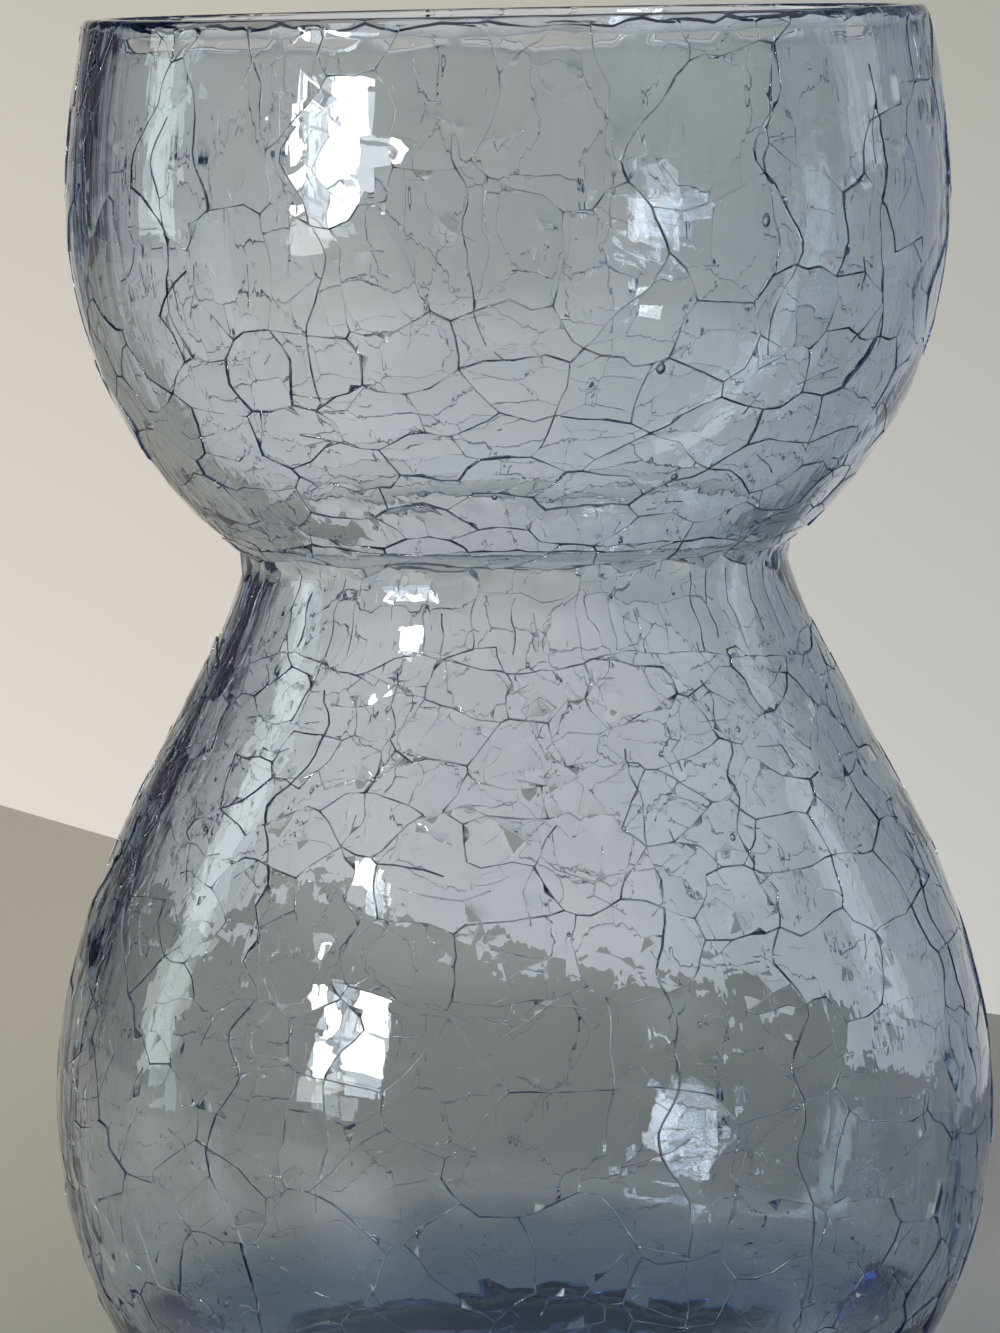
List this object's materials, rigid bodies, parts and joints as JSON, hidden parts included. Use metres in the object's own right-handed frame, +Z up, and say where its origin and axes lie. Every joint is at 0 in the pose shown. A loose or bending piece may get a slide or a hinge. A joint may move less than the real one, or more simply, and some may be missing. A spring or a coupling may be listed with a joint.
{
  "type": "bulb forcing vase",
  "caption": "Free-standing crackle glass vase with an open bulb cup, a pinched waist that carries the bulb and a round water chamber on a thick glass foot.",
  "frame": {"origin": "on the vase's axis, in the plane of the foot's resting ring", "axes": "+Z up along the axis of revolution, out of the mouth; +X and +Y are any two square directions, because the vase is round"},
  "size_m": [0.0998, 0.0998, 0.152],
  "materials": {
    "vessel_glass": "clear pale violet-blue blown glass with a fine crackle of healed fissures, glossy",
    "foot_glass": "the same glass in a thick solid mass, so it reads as deep blue, glossy"
  },
  "bodies": {
    "root": {"glass_vessel": "vessel_glass", "foot_pad": "foot_glass"}
  },
  "joints": []
}
